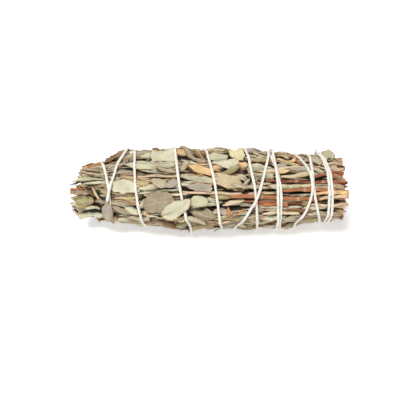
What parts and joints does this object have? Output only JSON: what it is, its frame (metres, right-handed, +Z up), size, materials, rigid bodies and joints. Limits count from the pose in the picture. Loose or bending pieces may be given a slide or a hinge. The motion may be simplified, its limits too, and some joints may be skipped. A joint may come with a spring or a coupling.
{
  "type": "sage bunch",
  "caption": "Small bunch of dried sage: leafy stems laid side by side and bound round and round with white cotton string, stems cut off at one end.",
  "frame": {"origin": "middle of the bounding box's underside, where the bunch rests on the string's turns", "axes": "+X along the bunch towards the cut stem ends, +Z up as it lies, -Y the side seen in the picture"},
  "size_m": [0.1048, 0.0346, 0.0333],
  "materials": {
    "sage_leaf": "matt, felted dry leaf",
    "inner_leaf": "matt dry leaf and stem",
    "loose_leaf": "matt, felted dry leaf",
    "cotton_string": "matt cotton yarn"
  },
  "bodies": {
    "root": {"cotton_string": "cotton_string", "inner_stems_1": "inner_leaf", "inner_stems_2": "inner_leaf", "inner_stems_3": "inner_leaf", "inner_stems_4": "inner_leaf", "inner_stems_5": "inner_leaf", "inner_stems_6": "inner_leaf", "loose_leaf_01": "loose_leaf", "loose_leaf_02": "loose_leaf", "loose_leaf_03": "loose_leaf", "loose_leaf_04": "loose_leaf", "loose_leaf_05": "loose_leaf", "loose_leaf_06": "loose_leaf", "loose_leaf_07": "loose_leaf", "loose_leaf_08": "loose_leaf", "loose_leaf_09": "loose_leaf", "loose_leaf_10": "loose_leaf", "loose_leaf_11": "loose_leaf", "loose_leaf_12": "loose_leaf", "loose_leaf_13": "loose_leaf", "sprig_01": "sage_leaf", "sprig_02": "sage_leaf", "sprig_03": "sage_leaf", "sprig_04": "sage_leaf", "sprig_05": "sage_leaf", "sprig_06": "sage_leaf", "sprig_07": "sage_leaf", "sprig_08": "sage_leaf", "sprig_09": "sage_leaf", "sprig_10": "sage_leaf", "sprig_11": "sage_leaf", "sprig_12": "sage_leaf", "sprig_13": "sage_leaf", "sprig_14": "sage_leaf", "sprig_15": "sage_leaf", "sprig_16": "sage_leaf", "sprig_17": "sage_leaf", "sprig_18": "sage_leaf", "sprig_19": "sage_leaf", "sprig_20": "sage_leaf"}
  },
  "joints": []
}
